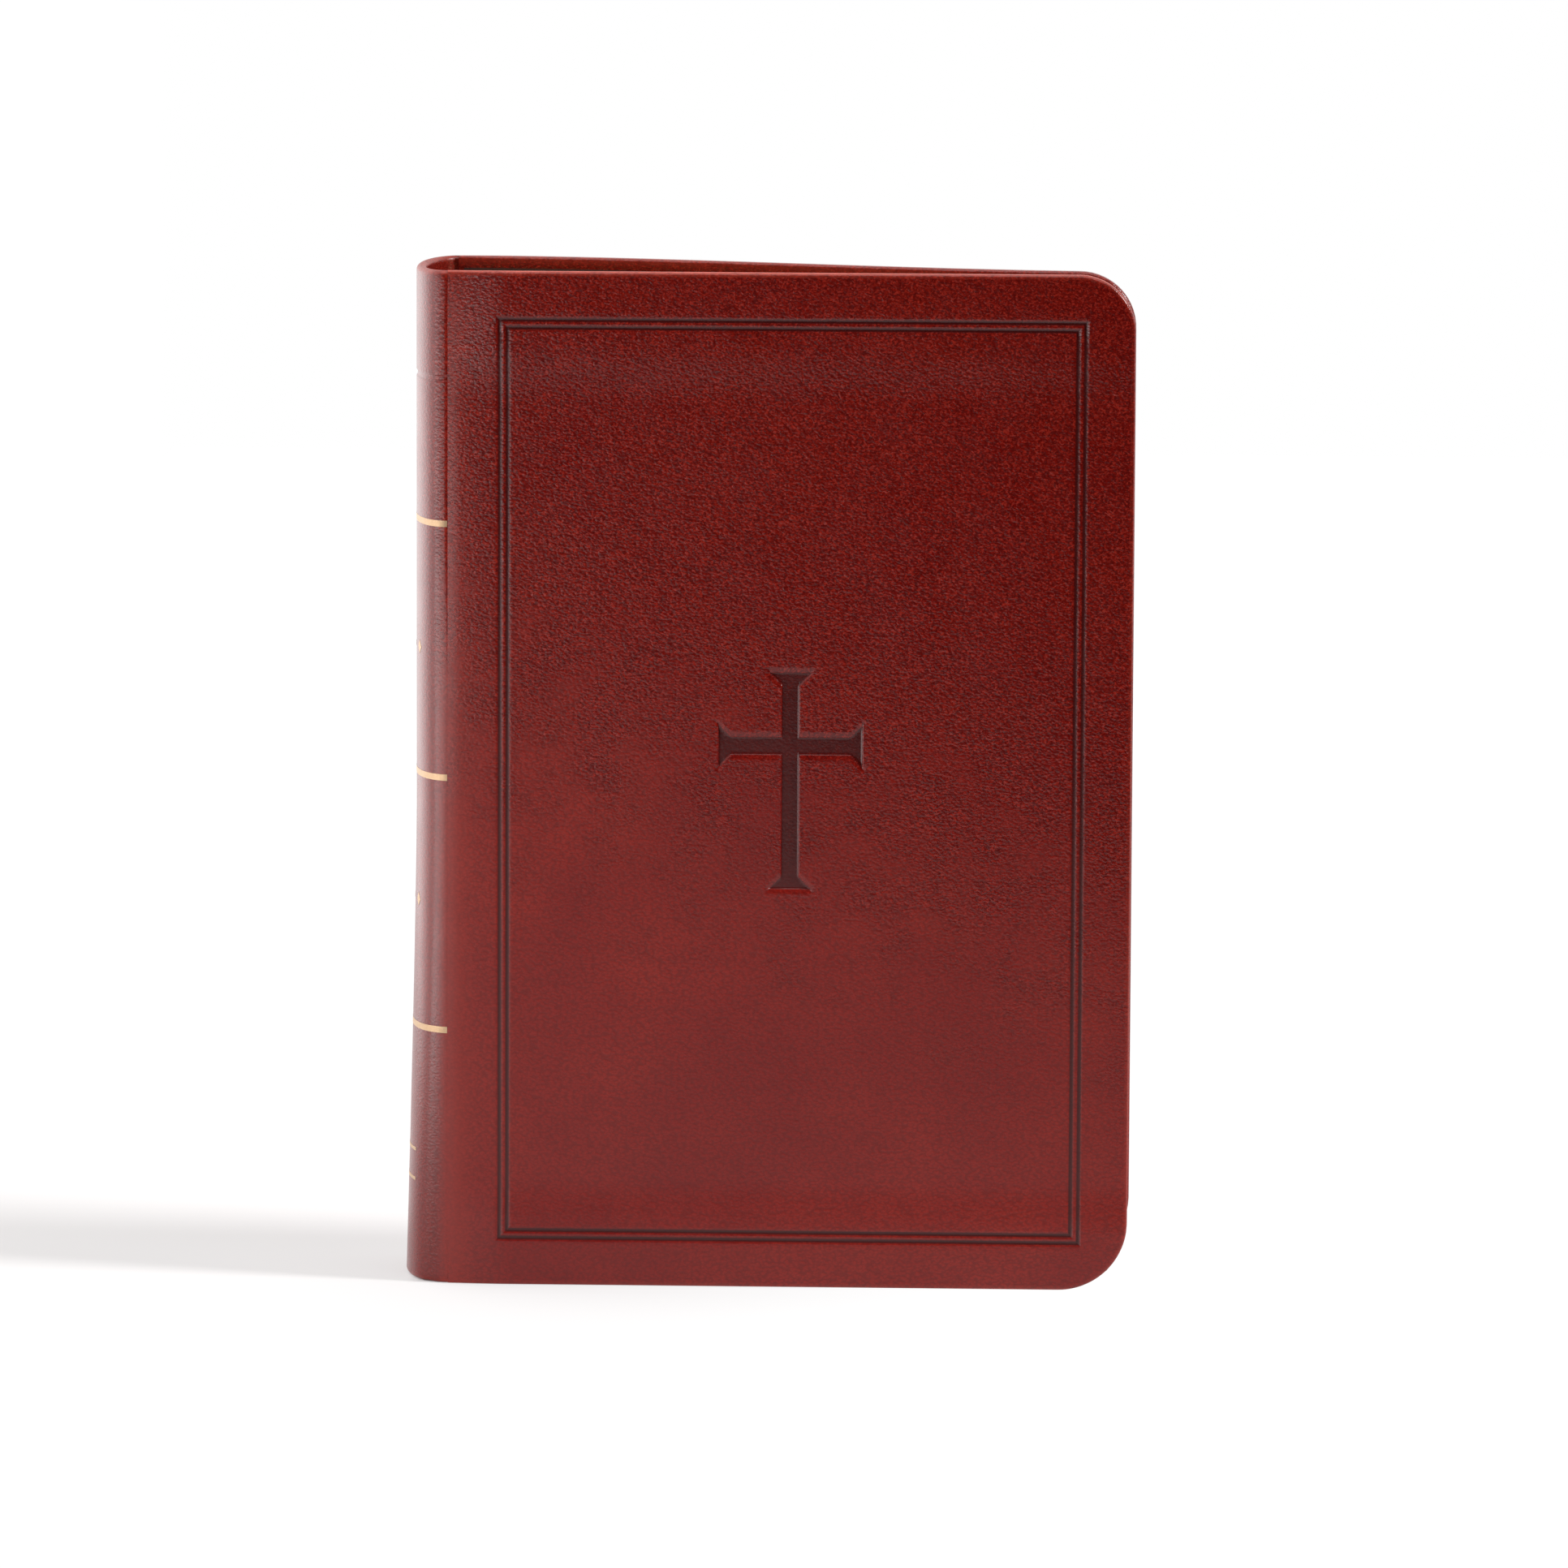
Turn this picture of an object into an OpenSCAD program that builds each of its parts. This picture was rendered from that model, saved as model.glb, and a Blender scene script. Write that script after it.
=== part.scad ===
// Small devotional book with a limp leather case, standing on its tail edge.
// X runs from the spine to the fore-edge, Y from the front cover to the back cover, Z up.
// The origin is the middle of the rectangle that the closed book stands on.

/* [Case] */
// Height of the covers and of the spine
cover_h = 170; // [140:1:220]
// Width of a cover, from its hinge line to the fore-edge
cover_w = 114; // [90:1:150]
// Overall thickness of the closed book
book_t = 29; // [24:0.5:40]
// How far the rounded spine stands out behind the hinge lines
spine_bulge = 7; // [6:0.5:9]
// Radius of the fore-edge corners at the head
head_corner_r = 9.5; // [4:0.5:14]
// Radius of the fore-edge corners at the tail
tail_corner_r = 11.5; // [4:0.5:14]
// Thickness of the leather
leather_t = 0.8; // [0.6:0.1:1.2]
// Thickness of the flexible boards
board_t = 0.95; // [0.6:0.05:1.5]
// Thickness of the pared leather that is turned in round the boards
turn_in_t = 0.3; // [0.2:0.05:0.5]
// Width of the turned-in leather
turn_in_w = 17; // [10:1:22]
// Width of the bare leather strip that bends at each hinge
joint_w = 4; // [3:0.5:6]

/* [Tooling] */
// Depth of the blind tooling
tooling_d = 0.35; // [0.1:0.05:0.5]
// Distance from the edges to the middle of the outer frame line
frame_margin = 8; // [5:0.5:15]
// Width of each frame line
frame_line_w = 0.7; // [0.4:0.1:1.2]
// Distance between the middles of the two frame lines
frame_pitch = 1.3; // [1:0.1:2.5]
// Width of the cross from arm end to arm end
cross_w = 24.2; // [15:0.1:40]
// Height of the cross
cross_h = 36; // [25:0.5:60]
// Width of the arms of the cross
cross_bar = 2.9; // [1.5:0.1:5]
// Width of the flared ends of the cross
cross_flare = 6.9; // [4:0.1:10]
// Width of the gilt bands across the spine
band_w = 1.1; // [0.6:0.1:2]
// Distance from one gilt band to the next
band_pitch = 42.5; // [30:0.5:55]

/* [Text block] */
// Distance from the covers' edges to the trimmed leaves
square_w = 4; // [2:0.5:4]
// Leaf sections on each side of the middle of the block
sections_per_side = 7; // [3:1:8]
// Radius of the trimmed corners of the leaves
leaf_corner_r = 8; // [3:0.5:12]
// How far the folds stand back in the middle of the rounded block
rounding = 2; // [1:0.1:2.5]
// Thickness of the endpapers
endpaper_t = 0.15; // [0.1:0.05:0.25]

/* [Hidden] */
$fn = 64;
leather_colour = [0.45, 0.15, 0.13];
endpaper_colour = [0.3, 0.13, 0.1];
cloth_colour = [0.9, 0.88, 0.8];
foil_colour = [0.85, 0.68, 0.35];

// Cover
cover_t = leather_t + board_t + turn_in_t + endpaper_t;
hinge_x = (spine_bulge - cover_w) / 2;
face_y = book_t / 2;
board_x = joint_w + 2.5;
pastedown_inset = 2;
least_r = 0.5;
flange_w = 18;
flange_t = turn_in_t * 0.7;
frame_left = frame_margin + 0.7;
cross_x = cover_w / 2 + 0.3;
cross_arm_z = cover_h / 2 + 6.4;
cross_top = cross_h * 0.33;
flare_l = 2.1;

// Spine
spine_steps = 24;
stiffener_t = 0.6;
stiffener_stop = 2;
head_wall_t = leather_t + stiffener_t + turn_in_t;
foil_t = 0.06;
band_low_z = cover_h / 4 + 0.4;
ornament_zs = [for (i = [0.5, 1.5]) band_low_z + band_pitch * i];
ornament_half = 8;
ornament_h = 9;
ornament_line_w = 0.8;
rule_zs = [16.8, 21.8];
rule_w = 0.45;
rule_half = 8.5;
blind_z = band_low_z + 2.57 * band_pitch;
blind_d = 0.15;

// Text block
leaf_gap = 0.06;
flyleaf_gap = 0.1;
flyleaf_set = 0.3;
block_y = face_y - cover_t - flyleaf_gap - endpaper_t - leaf_gap;
section_pitch = block_y / sections_per_side;
section_t = section_pitch - leaf_gap;
block_x = 3;
block_w = cover_w - square_w - block_x;
block_h = cover_h - 2 * square_w;

// Sewing and linings on the back of the text block
station_zs = [for (i = [0:4]) square_w + block_h * (0.12 + 0.19 * i)];
link_l = 12;
thread_r = 0.12;
lining_steps = 16;
lining_half = block_y - 0.3;
lining_gap = 0.12;
mull_t = 0.3;
mull_margin = 4;
liner_gap = lining_gap + mull_t + 0.03;
liner_t = 0.4;
lining_back = liner_gap + liner_t;
headband_h = 1.6;
headband_t = 1.5;
tongue_h = 8;

// Small overlap that joins two shapes into one solid, and room to cut past a face
join = 0.01;
past = 1;

// ---------- outlines ----------

// Cover outline, from start_x to the fore-edge, drawn in by a margin on its three outer sides.
module cover_outline(margin, start_x) {
    head_r = max(head_corner_r - margin, least_r);
    tail_r = max(tail_corner_r - margin, least_r);
    right = cover_w - margin;
    top = cover_h - margin;
    difference() {
        translate([start_x, margin]) square([right - start_x, top - margin]);
        corner_waste(right, top, head_r, 1);
        corner_waste(right, margin, tail_r, -1);
    }
}

// What a corner of radius r loses, at the corner point (x, z); up is 1 at the head and -1 at the tail.
module corner_waste(x, z, r, up) {
    translate([x, z]) flip(up) difference() {
        translate([-r, -r]) square(r + past);
        translate([-r, -r]) circle(r);
    }
}

// Turns a head corner into a tail corner when up is -1.
module flip(up) {
    if (up > 0) children();
    else mirror([0, 1]) children();
}

// Leaf outline with both fore-edge corners rounded.
module leaf_outline(x, w) {
    difference() {
        translate([x, square_w]) square([w, block_h]);
        corner_waste(x + w, square_w + block_h, leaf_corner_r, 1);
        corner_waste(x + w, square_w, leaf_corner_r, -1);
    }
}

// Stands an XZ outline up as a plate from y to y + t.
module plate(y, t) {
    translate([0, y + t, 0]) rotate([90, 0, 0]) linear_extrude(t) children();
}

// Half ellipse of the spine, drawn in by an inset, as points from the front hinge line to the back one.
function spine_curve(inset) = [for (i = [0:spine_steps])
    let (a = -90 + 180 * i / spine_steps)
    [-(spine_bulge - inset) * cos(a), (face_y - inset) * sin(a)]];

// Curved wall of the spine between two insets.
module spine_wall(outer, inner) {
    polygon(concat(spine_curve(outer), [for (p = [spine_steps:-1:0]) spine_curve(inner)[p]]));
}

// Where the folds lie at a distance y from the middle of the block.
function fold_x(y) = block_x - rounding * (1 - pow(y / block_y, 2));

// Strip that follows the folds, from one distance behind them to another.
module fold_strip(near, far) {
    ys = [for (i = [0:lining_steps]) lining_half * (2 * i / lining_steps - 1)];
    polygon(concat(
        [for (y = ys) [fold_x(y) - far, y]],
        [for (i = [lining_steps:-1:0]) [fold_x(ys[i]) - near, ys[i]]]));
}

module at_hinge() {
    translate([hinge_x, 0, 0]) children();
}

// Puts a front piece on the back as well, when side is 1.
module on_side(side) {
    at_hinge() if (side < 0) children(); else mirror([0, 1, 0]) children();
}

// ---------- covers ----------

module frame_ring(margin) {
    left = frame_left + margin - frame_line_w / 2;
    edge = frame_margin + margin - frame_line_w / 2;
    w = cover_w - edge - left;
    h = cover_h - 2 * edge;
    difference() {
        translate([left, edge]) square([w, h]);
        translate([left + frame_line_w, edge + frame_line_w])
            square([w - 2 * frame_line_w, h - 2 * frame_line_w]);
    }
}

// One arm of the cross along +Y with a flared end.
module cross_arm(length) {
    b = cross_bar / 2;
    f = cross_flare / 2;
    polygon([[-b, 0], [b, 0], [b, length - flare_l], [f, length], [-f, length], [-b, length - flare_l]]);
}

module cross_shape() {
    translate([cross_x, cross_arm_z]) {
        cross_arm(cross_top);
        rotate(180) cross_arm(cross_h - cross_top);
        rotate(90) cross_arm(cross_w / 2);
        rotate(-90) cross_arm(cross_w / 2);
    }
}

// Leather round a board: outer skin, rolled edges and turned-in border.
module cover_leather(side, tooled) {
    color(leather_colour) on_side(side) difference() {
        plate(-face_y, cover_t - endpaper_t) cover_outline(0, joint_w);
        plate(-face_y + leather_t, board_t) cover_outline(leather_t, board_x);
        plate(-face_y + leather_t + board_t, turn_in_t + past) cover_outline(turn_in_w, joint_w - past);
        plate(-face_y + leather_t, board_t + turn_in_t + past) translate([joint_w - past, turn_in_w])
            square([board_x - joint_w + past, cover_h - 2 * turn_in_w]);
        if (tooled) plate(-face_y - past, past + tooling_d) {
            frame_ring(0);
            frame_ring(frame_pitch);
            cross_shape();
        }
    }
}

module cover_board(side) {
    color([0.72, 0.66, 0.55]) on_side(side)
        plate(-face_y + leather_t, board_t) cover_outline(leather_t, board_x);
}

// Endpaper glued inside a cover: a sheet, and the part of it that drops into the turned-in border.
module pastedown(side) {
    color(endpaper_colour) on_side(side) difference() {
        union() {
            plate(-face_y + cover_t - endpaper_t, endpaper_t) cover_outline(pastedown_inset, joint_w);
            plate(-face_y + leather_t + board_t, turn_in_t + join) cover_outline(turn_in_w, board_x);
        }
        hinge_cloth_shape();
    }
}

// Flange of the spine's cloth, glued between the board and the pastedown.
module hinge_cloth_shape() {
    plate(-face_y + leather_t + board_t, flange_t)
        translate([board_x, turn_in_w]) square([flange_w, cover_h - 2 * turn_in_w]);
}

module hinge_cloth(side) {
    color(cloth_colour) on_side(side) hinge_cloth_shape();
}

// Bare leather that bends at the hinge, with its own turned-in ends.
module joint_leather(side) {
    color(leather_colour) on_side(side) union() {
        plate(-face_y, leather_t) square([joint_w, cover_h]);
        for (z = [0, cover_h - turn_in_w])
            plate(-face_y + leather_t, turn_in_t) translate([0, z]) square([joint_w, turn_in_w]);
    }
}

module flyleaf(side) {
    color(endpaper_colour) on_side(side)
        plate(-block_y - leaf_gap - endpaper_t, endpaper_t)
            leaf_outline(block_x + flyleaf_set, block_w - flyleaf_set);
}

// ---------- spine ----------

// Leather of the spine, turned in over the stiffener, with its blind line and the beds of the foil.
module spine_leather() {
    color(leather_colour) at_hinge() difference() {
        union() {
            linear_extrude(cover_h) spine_wall(0, leather_t);
            for (z = [0, cover_h - leather_t])
                translate([0, 0, z]) linear_extrude(leather_t) spine_wall(0, head_wall_t);
            for (z = [0, cover_h - turn_in_w])
                translate([0, 0, z]) linear_extrude(turn_in_w)
                    spine_wall(leather_t + stiffener_t, head_wall_t);
        }
        spine_ring(blind_z, band_w, blind_d);
        band_shapes();
        ornament_shapes();
    }
}

module spine_stiffener() {
    color([0.78, 0.74, 0.66]) at_hinge() translate([0, 0, leather_t])
        linear_extrude(cover_h - 2 * leather_t) difference() {
            spine_wall(leather_t, leather_t + stiffener_t);
            translate([-stiffener_stop, -face_y]) square([stiffener_stop + past, 2 * face_y]);
        }
}

// Outer layer of the spine's leather, from hinge to hinge, centred on a height.
module spine_ring(z, w, depth) {
    translate([0, 0, z - w / 2]) linear_extrude(w) spine_wall(0, depth);
}

module band_shapes() {
    for (i = [0:2]) spine_ring(band_low_z + band_pitch * i, band_w, foil_t);
}

module ornament_shapes() {
    for (z = rule_zs) intersection() {
        spine_ring(z, rule_w, foil_t);
        translate([-spine_bulge - past, -rule_half, 0]) cube([spine_bulge + past, 2 * rule_half, cover_h]);
    }
    for (z = ornament_zs) intersection() {
        spine_ring(z, 2 * ornament_half, foil_t);
        translate([-spine_bulge - past, 0, z]) rotate([90, 0, 90])
            linear_extrude(spine_bulge + past) ornament();
    }
}

// Small cross between two lozenges, as seen from behind the spine.
module ornament() {
    square([ornament_h * 2 / 3, ornament_line_w], center = true);
    square([ornament_line_w, ornament_h], center = true);
    for (s = [-1, 1]) translate([s * ornament_half, 0]) rotate(45) square(2 * ornament_line_w, center = true);
}

module gilt_bands() {
    color(foil_colour) at_hinge() band_shapes();
}

module gilt_ornaments() {
    color(foil_colour) at_hinge() ornament_shapes();
}

// ---------- back of the text block ----------

module spine_mull() {
    color(cloth_colour) at_hinge() translate([0, 0, square_w + mull_margin])
        linear_extrude(block_h - 2 * mull_margin) fold_strip(lining_gap, lining_gap + mull_t);
}

module spine_liner() {
    color([0.75, 0.62, 0.45]) at_hinge() translate([0, 0, square_w + tongue_h + leaf_gap])
        linear_extrude(block_h - 2 * (tongue_h + leaf_gap)) fold_strip(liner_gap, lining_back);
}

// Short threads that link each section to the next, in the notch between their folds.
module sewing_thread() {
    color([0.95, 0.93, 0.86]) at_hinge()
        for (z = station_zs) for (s = [-1, 1]) for (i = [1:sections_per_side - 1]) {
            y = s * section_pitch * i;
            translate([fold_x(y) + thread_r, y, z - link_l / 2]) cylinder(r = thread_r, h = link_l, $fn = 16);
        }
}

// Woven bead on the ends of the folds, with the tongue that is glued to the back; tail is 0 or 1.
module end_band(tail) {
    block_top = square_w + block_h;
    color([0.62, 0.12, 0.1]) at_hinge()
        translate([0, 0, cover_h / 2]) mirror([0, 0, tail]) translate([0, 0, -cover_h / 2]) {
            translate([0, 0, block_top + leaf_gap]) linear_extrude(headband_h)
                fold_strip(lining_back - headband_t, lining_back);
            translate([0, 0, block_top - tongue_h]) linear_extrude(tongue_h + leaf_gap + join)
                fold_strip(liner_gap, lining_back);
        }
}

// ---------- leaves ----------

// One section of folded leaves; number 1 lies next to the cover.
module leaves(side, number) {
    y = block_y - section_pitch * (number - 0.5);
    x = fold_x(y);
    r = section_t / 2;
    color([0.93, 0.9, 0.82]) on_side(side) intersection() {
        linear_extrude(cover_h) translate([x, -y]) {
            translate([r, 0]) circle(r);
            translate([r, -r]) square([block_w - r, section_t]);
        }
        plate(-y - 2 * r, 4 * r) leaf_outline(x, block_w);
    }
}

// ---------- nodes ----------

cover_leather(-1, true);  // front_cover_leather
cover_board(-1);  // front_board
pastedown(-1);  // front_pastedown
hinge_cloth(-1);  // front_hinge_cloth
joint_leather(-1);  // front_joint_leather
flyleaf(-1);  // front_flyleaf
cover_leather(1, false);  // back_cover_leather
cover_board(1);  // back_board
pastedown(1);  // back_pastedown
hinge_cloth(1);  // back_hinge_cloth
joint_leather(1);  // back_joint_leather
flyleaf(1);  // back_flyleaf
spine_leather();
spine_stiffener();
gilt_bands();
gilt_ornaments();
spine_liner();
spine_mull();
sewing_thread();
end_band(0);  // headband
end_band(1);  // tailband
for (i = [1:sections_per_side]) {
    leaves(-1, i);
    leaves(1, i);
}
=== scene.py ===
"""Looks of a compact leather-bound prayer book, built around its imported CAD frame.

Points are worked out in the book's own terms: u runs from the hinge line to the fore-edge, z up from the
tail, and n outward from the middle of the book, towards the front cover when side is FRONT.
"""

import math

import bpy
import numpy as np
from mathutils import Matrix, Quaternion, Vector, noise


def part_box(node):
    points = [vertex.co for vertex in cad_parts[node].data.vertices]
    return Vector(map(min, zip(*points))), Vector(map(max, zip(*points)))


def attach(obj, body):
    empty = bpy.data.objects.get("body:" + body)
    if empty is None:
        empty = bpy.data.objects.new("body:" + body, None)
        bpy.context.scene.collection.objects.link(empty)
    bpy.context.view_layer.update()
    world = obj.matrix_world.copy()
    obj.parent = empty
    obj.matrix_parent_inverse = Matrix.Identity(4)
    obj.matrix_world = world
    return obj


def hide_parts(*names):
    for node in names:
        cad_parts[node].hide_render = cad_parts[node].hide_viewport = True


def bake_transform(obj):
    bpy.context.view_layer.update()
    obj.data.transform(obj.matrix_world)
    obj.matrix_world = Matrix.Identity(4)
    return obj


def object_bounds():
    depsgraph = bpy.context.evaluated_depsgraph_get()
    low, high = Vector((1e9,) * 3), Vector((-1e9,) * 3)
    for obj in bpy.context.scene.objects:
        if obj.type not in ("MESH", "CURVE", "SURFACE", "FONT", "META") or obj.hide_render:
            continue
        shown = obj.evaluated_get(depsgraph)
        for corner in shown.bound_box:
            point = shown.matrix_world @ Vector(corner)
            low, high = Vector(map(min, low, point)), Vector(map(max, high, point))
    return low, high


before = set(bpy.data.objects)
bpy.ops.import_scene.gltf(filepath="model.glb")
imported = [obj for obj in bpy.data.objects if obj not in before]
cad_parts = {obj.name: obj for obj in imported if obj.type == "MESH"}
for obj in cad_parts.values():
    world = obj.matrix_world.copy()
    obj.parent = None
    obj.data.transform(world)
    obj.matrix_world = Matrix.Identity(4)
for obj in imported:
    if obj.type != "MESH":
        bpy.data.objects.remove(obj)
cad_low, cad_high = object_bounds()

MM = 0.001
FRONT, BACK = -1, 1
SIDES = {"front": FRONT, "back": BACK}

# ---------- sizes, from the frame ----------

HINGE_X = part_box("front_joint_leather")[0].x
FACE_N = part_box("back_cover_leather")[1].y
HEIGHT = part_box("front_cover_leather")[1].z
COVER_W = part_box("front_cover_leather")[1].x - HINGE_X
PASTE_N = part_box("back_pastedown")[0].y
FLY_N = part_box("back_flyleaf")[1].y
BLOCK_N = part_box("back_leaves_1")[1].y
BLOCK_LOW, BLOCK_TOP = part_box("back_leaves_1")[0].z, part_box("back_leaves_1")[1].z
SECTIONS = sum(n.startswith("front_leaves_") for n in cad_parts)
PITCH = BLOCK_N / SECTIONS
LEAF_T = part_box("front_leaves_1")[1].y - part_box("front_leaves_1")[0].y
FOLDS = [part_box(f"front_leaves_{i + 1}")[0].x - HINGE_X for i in range(SECTIONS)]
BLOCK_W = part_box("front_leaves_1")[1].x - HINGE_X - FOLDS[0]

# ---------- sizes of the leatherwork and the paper ----------

# covers: thickness, corners, rolled edges, and how each cover's outline departs from a rectangle
WALL_T, LEATHER_T, TURN_IN = 1.7 * MM, 0.8 * MM, 17 * MM
PLATE_T = FACE_N - PASTE_N - 0.12 * MM
HEAD_CORNER_R, TAIL_CORNER_R = 9.5 * MM, 11.5 * MM
EDGE_R, SHOULDER, BORDER = 0.55 * MM, 0.06 * MM, 6.4 * MM
BACK_RISE, BACK_FALL = 0.55 * MM, 1.98 * MM
FORE_TAPER = 0.0022

# tooled frame and cross; the tone is how dark the cross is against the frame lines
FRAME_MARGIN, FRAME_LEFT, FRAME_RIGHT = 8.0 * MM, 8.7 * MM, 8.25 * MM
FRAME_PITCH, FRAME_LINE_W, FRAME_DEPTH = 1.3 * MM, 0.7 * MM, 0.2 * MM
CROSS_U, CROSS_Z = COVER_W / 2 + 0.2 * MM, HEIGHT / 2 + 6.25 * MM
CROSS_W, CROSS_UP, CROSS_DOWN = 24.0 * MM, 12.25 * MM, 23.95 * MM
CROSS_BAR, CROSS_FLARE, CROSS_FLARE_L = 2.9 * MM, 6.9 * MM, 2.1 * MM
CROSS_DEPTH, CROSS_DIP, CROSS_WALL, CROSS_TONE = 0.2 * MM, 0.2 * MM, 0.1 * MM, 0.84

# soft rise of the faces towards head and tail, and slow waves
MARGIN_RISE, PANEL_RISE = 0.2 * MM, 0.38 * MM
SWELL_START, SWELL_END, TAIL_SHIFT = 12.5 * MM, 21 * MM, 3.5 * MM
WAVES, WAVE_U, WAVE_Z, WAVE_SLICE = 0.08 * MM, 34 * MM, 41 * MM, 3.7

# hinge: a wide gutter with a fold in it near the head and a soft roll below, and where the leather bends
GUTTER_DEPTH, GUTTER_W = 0.3 * MM, 9 * MM
CREASE_DEPTH, CREASE_W = 0.1 * MM, 2.0 * MM
ROLL_DEPTH, ROLL_END = 0.12 * MM, 6 * MM
FOLD_FROM, FOLD_TO = 95 * MM, 130 * MM
BEND_START, BEND_END = 0.0, 5.5 * MM

# spine: its spread, the gilt bands, rules and ornaments, and one blind line; half angles in degrees
BULGE_HEAD, BULGE_TAIL, BULGE_FROM = 6.1 * MM, 7.9 * MM, 80 * MM
BAND_ZS = [HEIGHT / 4 + 0.4 * MM + 42.5 * MM * i for i in range(3)]
BAND_W, BAND_DIP, BAND_HALF_ANGLE = 1.05 * MM, 0.2 * MM, 89.2
RULE_ZS = (16.8 * MM, 21.8 * MM)
RULE_W, RULE_HALF_ANGLE = 0.55 * MM, 39.0
ORNAMENT_ZS = [(BAND_ZS[i] + BAND_ZS[i + 1]) / 2 for i in (0, 1)]
BLIND_Z, BLIND_DEPTH, BLIND_HALF, BLIND_WALL = 152.1 * MM, 0.2 * MM, 0.45 * MM, 0.2 * MM

# paper, and the woven beads at the ends of the block
LEAF_CORNER_R, LINING_CORNER_R, LINING_INSET = 8 * MM, 7.5 * MM, 2 * MM
LEAF_BEND, GLUED_IN = 24 * MM, 0.9 * MM
BEAD_R, BEAD_MIDDLE = 0.78 * MM, 0.75 * MM


def row_point(u, z, n, side=FRONT):
    """A point of the shared frame, from the book's own terms."""
    return (HINGE_X + u, side * n, z)


def cover_point(u, z, n, side):
    """A point of a cover: the front tapers a hair to the tail, the back falls towards the fore-edge."""
    if side == BACK:
        z *= 1 + (BACK_RISE - BACK_FALL * float(smooth(0, COVER_W, u))) / HEIGHT
    else:
        u *= 1 - FORE_TAPER * (1 - z / HEIGHT)
    return row_point(u, z, n, side)


def smooth(low, high, x):
    t = np.clip((x - low) / (high - low), 0, 1)
    return t * t * (3 - 2 * t)


def spread(*stretches):
    """Sorted values from (low, high, step) stretches, without near doubles."""
    counts = [max(2, int(round((high - low) / step)) + 1) for low, high, step in stretches]
    values = np.concatenate([np.linspace(low, high, n) for (low, high, _), n in zip(stretches, counts)])
    values = np.unique(np.round(values, 7))
    return values[np.concatenate([[True], np.diff(values) > 0.03 * MM])]


# ---------- meshes ----------


def make_piece(name, points, faces, materials, face_slots=None, masks=None, flip=False):
    """A smooth mesh object that keeps its rest positions and masks as attributes for its materials."""
    if flip:
        faces = [f[::-1] for f in faces]
    mesh = bpy.data.meshes.new(name)
    mesh.from_pydata([tuple(p) for p in points], [], faces)
    mesh.validate()
    piece = bpy.data.objects.new(name, mesh)
    bpy.context.scene.collection.objects.link(piece)
    for material in materials:
        mesh.materials.append(material)
    if face_slots is not None:
        mesh.polygons.foreach_set("material_index", face_slots)
    mesh.polygons.foreach_set("use_smooth", [True] * len(mesh.polygons))
    rest = mesh.attributes.new("rest", "FLOAT_VECTOR", "POINT")
    rest.data.foreach_set("vector", np.array(points, np.float32).ravel())
    for key, values in (masks or {}).items():
        mask = mesh.attributes.new(key, "FLOAT", "POINT")
        mask.data.foreach_set("value", np.asarray(values, np.float32))
    return piece


def grid_faces(rows, columns, start=0, wrap=False):
    """Quads of a grid whose points are stored row after row; wrap joins the last row to the first."""
    faces = []
    for i in range(rows if wrap else rows - 1):
        a, b = start + i * columns, start + (i + 1) % rows * columns
        faces += [(a + j, a + j + 1, b + j + 1, b + j) for j in range(columns - 1)]
    return faces


def sharpen(piece, degrees=50):
    """Marks edges sharper than an angle, so that flat faces stay flat beside a corner."""
    piece.data.set_sharp_from_angle(angle=math.radians(degrees))
    return piece


# ---------- cover plates ----------


def frame_lines(u, z):
    """Depth share and colour mask of the two frame lines: soft walls, a narrower dark floor."""
    depth, dark = np.zeros_like(u), np.zeros_like(u)
    half_w = FRAME_LINE_W / 2
    for k in range(2):
        left, right, edge = (m + k * FRAME_PITCH for m in (FRAME_LEFT, FRAME_RIGHT, FRAME_MARGIN))
        half_u, half_z = (COVER_W - right - left) / 2, HEIGHT / 2 - edge
        from_line = np.abs(np.maximum(np.abs(u - left - half_u) - half_u, np.abs(z - HEIGHT / 2) - half_z))
        depth = np.maximum(depth, 1 - smooth(0.08 * MM, half_w + 0.25 * MM, from_line))
        dark = np.maximum(dark, 1 - smooth(half_w - 0.15 * MM, half_w + 0.08 * MM, from_line))
    return depth, dark


def inside_cross(u, z):
    """How far a point lies inside the cross with flared ends; negative outside."""
    du, dz = u - CROSS_U, z - CROSS_Z

    def arm(along, across, length):
        flare = np.clip((np.abs(along) - (length - CROSS_FLARE_L)) / CROSS_FLARE_L, 0, 1)
        half = CROSS_BAR / 2 + (CROSS_FLARE - CROSS_BAR) / 2 * flare ** 1.15
        return np.minimum(half - np.abs(across), length - np.abs(along))

    upright = np.where(dz > 0, arm(dz, du, CROSS_UP), arm(dz, du, CROSS_DOWN))
    return np.maximum(upright, arm(du, dz, CROSS_W / 2))


def swell(u, z):
    """Soft rise of the cover towards head and tail, and slow waves in the leather."""
    to_end = np.minimum(z + TAIL_SHIFT, HEIGHT - z)
    rise = MARGIN_RISE * (1 - to_end / SWELL_END).clip(0, 1)
    rise += PANEL_RISE * (1 - smooth(SWELL_START, SWELL_END, to_end))
    places = zip((u / WAVE_U).ravel(), (z / WAVE_Z).ravel())
    waves = np.array([noise.noise(Vector((a, b, WAVE_SLICE))) for a, b in places])
    return (rise + WAVES * waves.reshape(u.shape)) * smooth(0, 10 * MM, u)


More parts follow.
